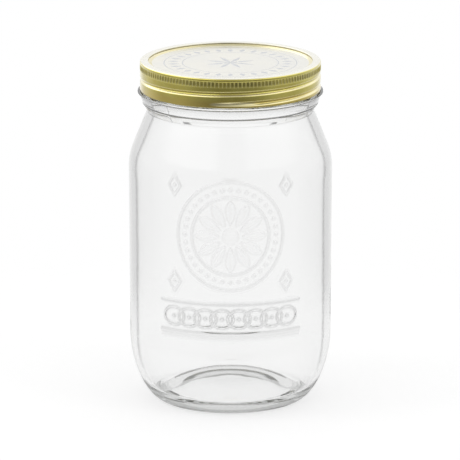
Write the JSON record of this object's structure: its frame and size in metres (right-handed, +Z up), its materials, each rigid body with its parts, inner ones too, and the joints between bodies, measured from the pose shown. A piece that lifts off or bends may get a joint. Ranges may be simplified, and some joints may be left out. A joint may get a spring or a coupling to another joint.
{
  "type": "preserving jar",
  "caption": "Clear glass wide-mouth preserving jar with a shouldered body, closed by a sealing disc that a knurled, threaded gold metal band screws down.",
  "frame": {"origin": "centre of the base, on the surface that the jar stands on", "axes": "+Z up along the jar's axis, -Y towards the front"},
  "size_m": [0.1, 0.1, 0.17],
  "materials": {
    "clear_glass": "gloss",
    "lacquered_disc": "gloss",
    "sealing_compound": "matte",
    "gold_lacquer": "gloss"
  },
  "bodies": {
    "jar": {"glass_jar": "clear_glass"},
    "lid": {"lid_disc": "lacquered_disc", "sealing_ring": "sealing_compound"},
    "band": {"screw_band": "gold_lacquer"}
  },
  "joints": [
    {"name": "lid_lift", "type": "slide", "parent": "jar", "child": "lid", "axis": [0, 0, 1], "range_m": [0, 0.01755]},
    {"name": "band_turn", "type": "hinge", "parent": "lid", "child": "band", "pos_m": [0, 0, 0.17], "axis": [0, 0, 1], "range_deg": [0, 1260]}
  ],
  "couplings": [
    {"joint": "lid_lift", "follows": "band_turn", "m_per_rad": 0.00079577}
  ]
}
